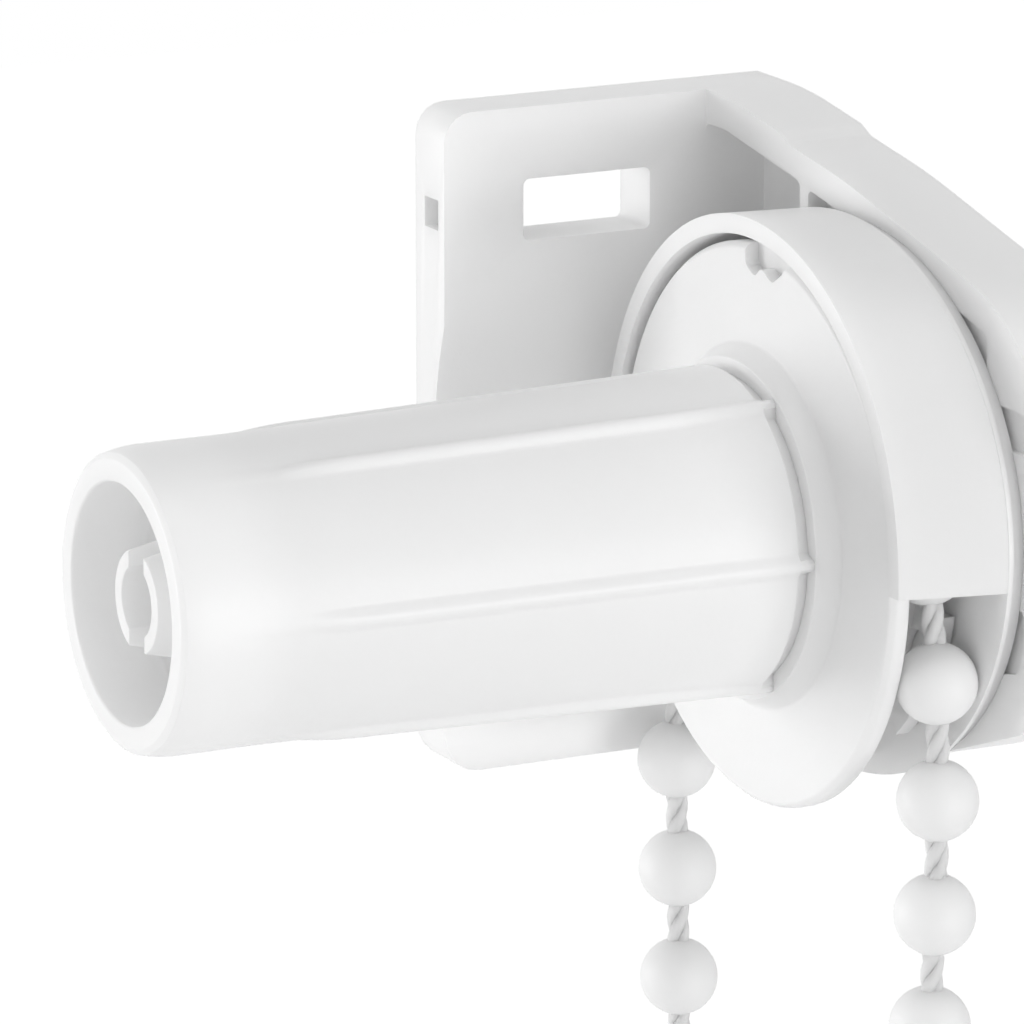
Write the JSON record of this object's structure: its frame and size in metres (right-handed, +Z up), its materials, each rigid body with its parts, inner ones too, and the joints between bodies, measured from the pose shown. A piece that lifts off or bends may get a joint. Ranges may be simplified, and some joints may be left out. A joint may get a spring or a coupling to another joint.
{
  "type": "roller blind bracket",
  "caption": "Side-winder end bracket of a roller blind: wall plate and ribbed arm, chain guard, beaded pull chain, pocketed chain wheel and ribbed drive sleeve for the tube.",
  "frame": {"origin": "centre of the mounting plate's back face, on the wall", "axes": "+X along the drive sleeve towards the tube, +Y away from the wall, +Z up"},
  "size_m": [0.0465, 0.039, 0.1467],
  "materials": {
    "bracket_plastic": "semi-gloss moulded",
    "guard_plastic": "semi-gloss moulded",
    "wheel_plastic": "semi-gloss moulded",
    "sleeve_plastic": "semi-gloss moulded",
    "chain_cord": "twisted polyester cord",
    "chain_bead": "moulded"
  },
  "bodies": {
    "bracket": {"wall_bracket": "bracket_plastic", "guard_housing": "guard_plastic", "bead_chain_cord": "chain_cord", "chain_beads": "chain_bead"},
    "drive": {"chain_wheel": "wheel_plastic", "drive_sleeve": "sleeve_plastic"}
  },
  "joints": [
    {"name": "drive_spin", "type": "hinge", "parent": "bracket", "child": "drive", "pos_m": [0.00105, 0.0205, -0.0009], "axis": [1, 0, 0], "continuous": true}
  ]
}
